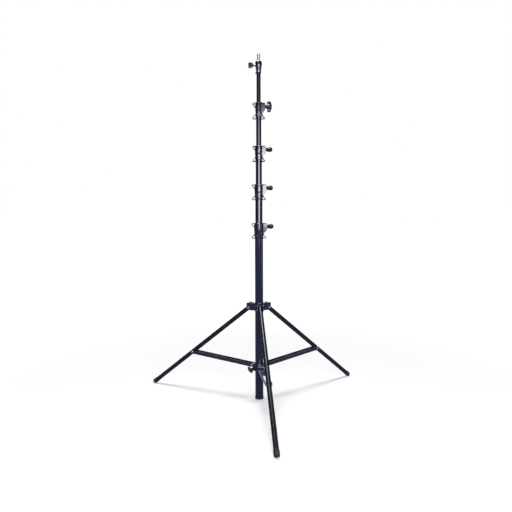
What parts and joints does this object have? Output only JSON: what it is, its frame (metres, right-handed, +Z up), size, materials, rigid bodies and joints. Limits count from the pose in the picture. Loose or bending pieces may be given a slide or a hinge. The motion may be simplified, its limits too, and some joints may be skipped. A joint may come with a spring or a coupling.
{
  "type": "light stand",
  "caption": "Tall telescopic light stand: clamp collars with wing knobs and guy wires, a spigot on top and a folding tripod base with braces.",
  "frame": {"origin": "on the floor, on the column's axis", "axes": "+Z up along the column, -Y towards the front leg, +X towards the collar knobs"},
  "size_m": [1.1024, 0.9581, 1.675],
  "materials": {
    "tube_paint": "gloss",
    "casting_paint": "gloss",
    "leg_paint": "satin",
    "zinc_wire": "satin",
    "rivet_steel": "polished",
    "screw_steel": "satin",
    "spigot_steel": "satin",
    "knob_plastic": "satin",
    "cap_plastic": "satin",
    "bush_nylon": "matte",
    "foot_rubber": "matte"
  },
  "bodies": {
    "column": {"base_tube": "tube_paint", "base_end_cap": "cap_plastic", "hub_casting": "casting_paint", "hub_pivot_rivets": "rivet_steel", "collar_1_casting": "casting_paint", "collar_1_bush": "bush_nylon", "collar_1_guy_wires": "zinc_wire"},
    "riser_1": {"riser_1_tube": "tube_paint", "riser_1_guide": "bush_nylon", "collar_2_casting": "casting_paint", "collar_2_bush": "bush_nylon", "collar_2_guy_wires": "zinc_wire"},
    "riser_2": {"riser_2_tube": "tube_paint", "riser_2_guide": "bush_nylon", "collar_3_casting": "casting_paint", "collar_3_bush": "bush_nylon", "collar_3_guy_wires": "zinc_wire"},
    "riser_3": {"riser_3_tube": "tube_paint", "riser_3_guide": "bush_nylon", "collar_4_casting": "casting_paint", "collar_4_bush": "bush_nylon", "collar_4_guy_wires": "zinc_wire"},
    "riser_4": {"riser_4_tube": "tube_paint", "riser_4_guide": "bush_nylon", "head_casting": "casting_paint", "head_rivet": "rivet_steel"},
    "spigot": {"spigot": "spigot_steel"},
    "leg_front": {"leg_front_tube": "leg_paint", "leg_front_top_plug": "cap_plastic", "leg_front_brace_bush": "screw_steel", "leg_front_foot": "foot_rubber"},
    "leg_right": {"leg_right_tube": "leg_paint", "leg_right_top_plug": "cap_plastic", "leg_right_brace_bush": "screw_steel", "leg_right_foot": "foot_rubber"},
    "leg_left": {"leg_left_tube": "leg_paint", "leg_left_top_plug": "cap_plastic", "leg_left_brace_bush": "screw_steel", "leg_left_foot": "foot_rubber"},
    "lower_collar": {"lower_collar_casting": "casting_paint", "lower_collar_liner": "bush_nylon", "lower_collar_pins": "rivet_steel"},
    "brace_front": {"brace_front_channel": "leg_paint", "brace_front_rivets": "rivet_steel"},
    "brace_right": {"brace_right_channel": "leg_paint", "brace_right_rivets": "rivet_steel"},
    "brace_left": {"brace_left_channel": "leg_paint", "brace_left_rivets": "rivet_steel"},
    "collar_1_knob": {"collar_1_knob_wing": "knob_plastic", "collar_1_knob_screw": "screw_steel"},
    "collar_2_knob": {"collar_2_knob_wing": "knob_plastic", "collar_2_knob_screw": "screw_steel"},
    "collar_3_knob": {"collar_3_knob_wing": "knob_plastic", "collar_3_knob_screw": "screw_steel"},
    "collar_4_knob": {"collar_4_knob_wing": "knob_plastic", "collar_4_knob_screw": "screw_steel"},
    "head_knob": {"head_knob_wing": "knob_plastic", "head_knob_screw": "screw_steel"},
    "lower_collar_knob": {"lower_collar_knob_wing": "knob_plastic", "lower_collar_knob_screw": "screw_steel"}
  },
  "joints": [
    {"name": "leg_front_fold", "type": "hinge", "parent": "column", "child": "leg_front", "pos_m": [0, -0.054, 0.46], "axis": [1, 0, 0], "range_deg": [0, 51.72]},
    {"name": "leg_right_fold", "type": "hinge", "parent": "column", "child": "leg_right", "pos_m": [0.04677, 0.027, 0.46], "axis": [-0.5, 0.866, 0], "range_deg": [0, 51.72]},
    {"name": "leg_left_fold", "type": "hinge", "parent": "column", "child": "leg_left", "pos_m": [-0.04677, 0.027, 0.46], "axis": [-0.5, -0.866, 0], "range_deg": [0, 51.72]},
    {"name": "lower_collar_slide", "type": "slide", "parent": "column", "child": "lower_collar", "axis": [0, 0, 1], "range_m": [0, 0.21791]},
    {"name": "brace_front_turn", "type": "hinge", "parent": "lower_collar", "child": "brace_front", "pos_m": [0, -0.036, 0.172], "axis": [1, 0, 0], "range_deg": [0, 92.09]},
    {"name": "brace_right_turn", "type": "hinge", "parent": "lower_collar", "child": "brace_right", "pos_m": [0.03118, 0.018, 0.172], "axis": [-0.5, 0.866, 0], "range_deg": [0, 92.09]},
    {"name": "brace_left_turn", "type": "hinge", "parent": "lower_collar", "child": "brace_left", "pos_m": [-0.03118, 0.018, 0.172], "axis": [-0.5, -0.866, 0], "range_deg": [0, 92.09]},
    {"name": "riser_1_slide", "type": "slide", "parent": "column", "child": "riser_1", "axis": [0, 0, 1], "range_m": [-0.105, 0.48]},
    {"name": "riser_2_slide", "type": "slide", "parent": "riser_1", "child": "riser_2", "axis": [0, 0, 1], "range_m": [-0.102, 0.48]},
    {"name": "riser_3_slide", "type": "slide", "parent": "riser_2", "child": "riser_3", "axis": [0, 0, 1], "range_m": [-0.121, 0.48]},
    {"name": "riser_4_slide", "type": "slide", "parent": "riser_3", "child": "riser_4", "axis": [0, 0, 1], "range_m": [-0.13, 0.48]},
    {"name": "spigot_lift", "type": "slide", "parent": "riser_4", "child": "spigot", "axis": [0, 0, 1], "range_m": [0, 0.045]},
    {"name": "collar_1_knob_turn", "type": "hinge", "parent": "column", "child": "collar_1_knob", "pos_m": [0.0385, 0, 0.859], "axis": [1, 0, 0], "continuous": true},
    {"name": "collar_2_knob_turn", "type": "hinge", "parent": "riser_1", "child": "collar_2_knob", "pos_m": [0.0355, 0, 1.045], "axis": [1, 0, 0], "continuous": true},
    {"name": "collar_3_knob_turn", "type": "hinge", "parent": "riser_2", "child": "collar_3_knob", "pos_m": [0.033, 0, 1.228], "axis": [1, 0, 0], "continuous": true},
    {"name": "collar_4_knob_turn", "type": "hinge", "parent": "riser_3", "child": "collar_4_knob", "pos_m": [0.0305, 0, 1.43], "axis": [1, 0, 0], "continuous": true},
    {"name": "head_knob_turn", "type": "hinge", "parent": "riser_4", "child": "head_knob", "pos_m": [-0.0215, 0, 1.6205], "axis": [-1, 0, 0], "continuous": true},
    {"name": "lower_collar_knob_turn", "type": "hinge", "parent": "lower_collar", "child": "lower_collar_knob", "pos_m": [-0.03551, -0.0205, 0.159], "axis": [-0.866, -0.5, 0], "continuous": true}
  ],
  "couplings": [
    {"joint": "leg_left_fold", "follows": "leg_front_fold", "ratio": 1},
    {"joint": "leg_right_fold", "follows": "leg_front_fold", "ratio": 1},
    {"joint": "lower_collar_slide", "follows": "leg_front_fold", "m_per_rad": 0.24086},
    {"joint": "brace_front_turn", "follows": "leg_front_fold", "ratio": 1.7796},
    {"joint": "brace_right_turn", "follows": "leg_front_fold", "ratio": 1.7796},
    {"joint": "brace_left_turn", "follows": "leg_front_fold", "ratio": 1.7796}
  ]
}
